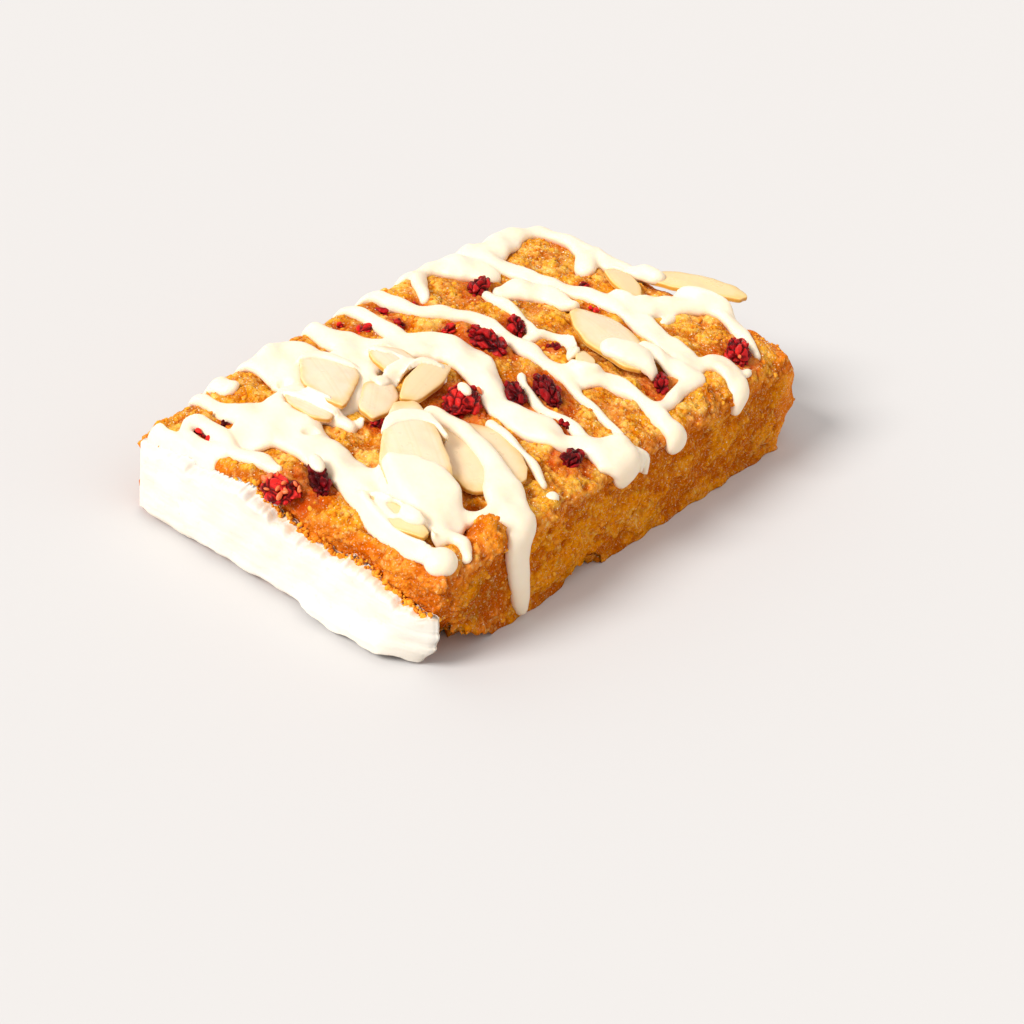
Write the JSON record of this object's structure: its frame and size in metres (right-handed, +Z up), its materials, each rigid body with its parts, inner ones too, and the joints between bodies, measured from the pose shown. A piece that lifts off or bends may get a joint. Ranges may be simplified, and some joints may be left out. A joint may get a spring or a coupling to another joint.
{
  "type": "blondie",
  "caption": "Rectangular blondie bar with a cut crumb side, white chocolate drizzle and coated end, flaked almonds and raspberry pieces on its crust.",
  "frame": {"origin": "centre of the overall box in plan, at the level of the base", "axes": "+X along the bar towards its baked, rounded end, -X its coated short side; -Y the cut long side that shows the crumb; +Z up through the crust"},
  "size_m": [0.0948, 0.0586, 0.021],
  "materials": {
    "crumb": "baked golden crumb, granular, with matt white chocolate drizzle fused to its crust",
    "white_chocolate": "set white chocolate, satin",
    "almond": "dry flaked almond, satin",
    "raspberry": "dried raspberry, slightly wet, beaded"
  },
  "bodies": {
    "root": {"blondie": "crumb", "white_coat": "white_chocolate", "almond_flake_1": "almond", "almond_flake_2": "almond", "almond_flake_3": "almond", "almond_flake_4": "almond", "almond_flake_5": "almond", "almond_flake_6": "almond", "almond_flake_7": "almond", "almond_flake_8": "almond", "almond_flake_9": "almond", "almond_flake_10": "almond", "almond_flake_11": "almond", "almond_flake_12": "almond", "raspberry_piece_1": "raspberry", "raspberry_piece_2": "raspberry", "raspberry_piece_3": "raspberry", "raspberry_piece_4": "raspberry", "raspberry_piece_5": "raspberry", "raspberry_piece_6": "raspberry", "raspberry_piece_7": "raspberry", "raspberry_piece_8": "raspberry", "raspberry_piece_9": "raspberry", "raspberry_piece_10": "raspberry", "raspberry_piece_11": "raspberry"}
  },
  "joints": []
}
